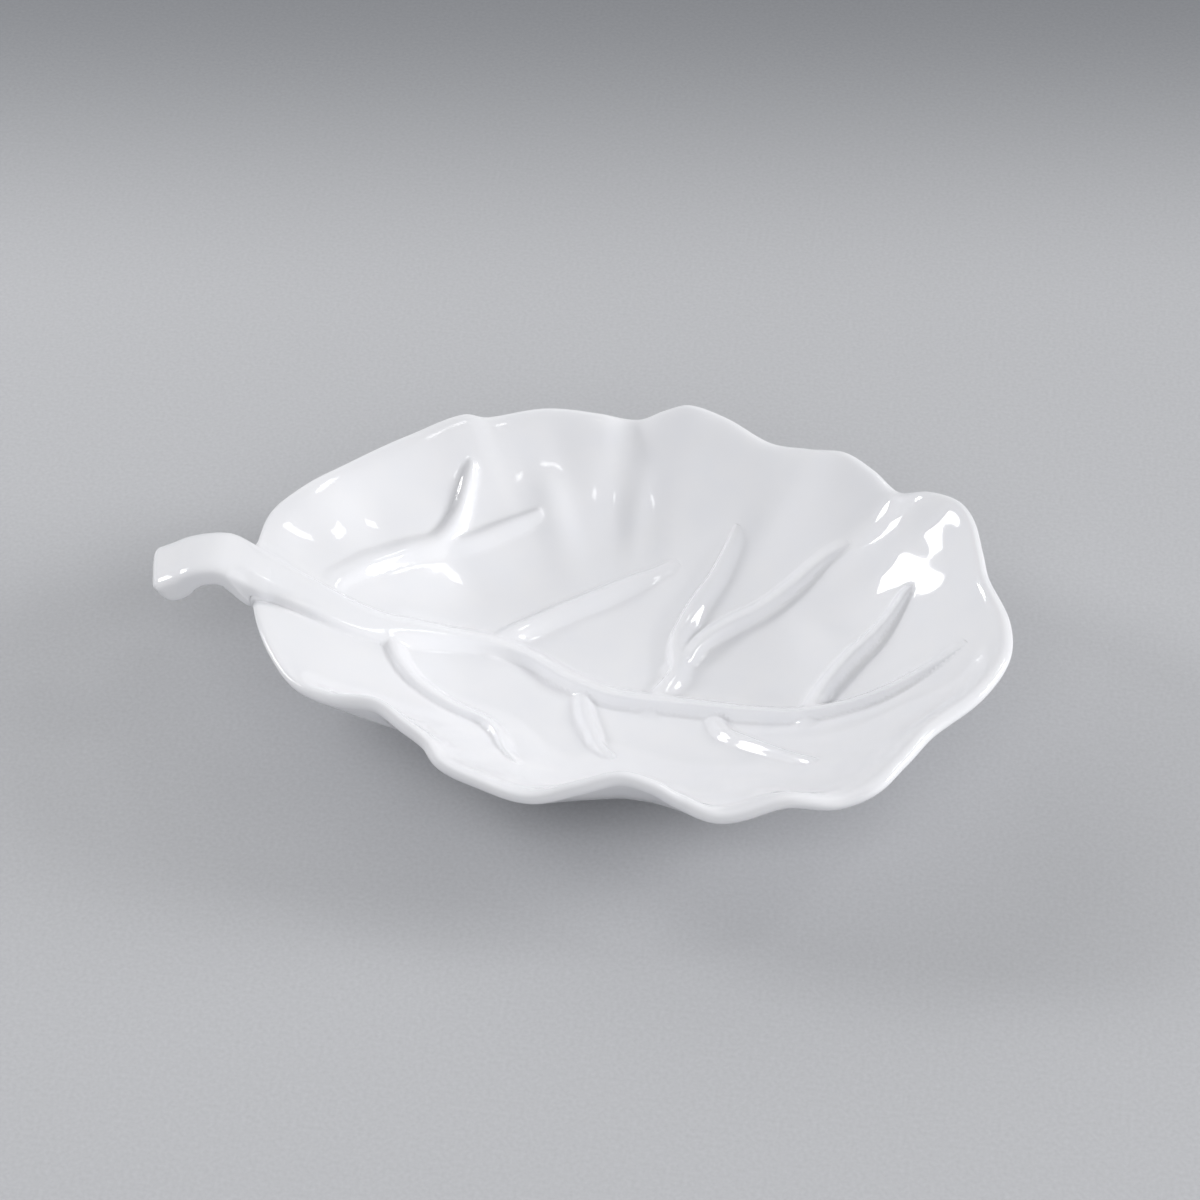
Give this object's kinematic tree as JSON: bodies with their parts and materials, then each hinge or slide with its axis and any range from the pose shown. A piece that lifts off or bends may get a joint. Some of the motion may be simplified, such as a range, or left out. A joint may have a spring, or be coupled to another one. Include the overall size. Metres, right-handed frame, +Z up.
{
  "type": "leaf shaped plate",
  "caption": "Leaf shaped serving dish of white glazed ceramic with a wavy rim, raised veins inside, a curled stalk as its handle and an oval foot ring.",
  "frame": {"origin": "on the table under the middle of the dish's box, seen from above, stalk included", "axes": "+X along the leaf from the stalk to the tip, +Y to the side with more veins, +Z up out of the bowl"},
  "size_m": [0.2508, 0.1646, 0.0509],
  "materials": {
    "glaze": "glossy",
    "biscuit": "matte"
  },
  "bodies": {
    "root": {"blade": "glaze", "foot_ring": "biscuit", "stem_handle": "glaze", "midrib": "glaze", "back_vein_1": "glaze", "back_vein_1_branch": "glaze", "back_vein_2": "glaze", "back_vein_3": "glaze", "back_vein_3_branch": "glaze", "back_vein_4": "glaze", "front_vein_1": "glaze", "front_vein_2": "glaze", "front_vein_3": "glaze"}
  },
  "joints": []
}
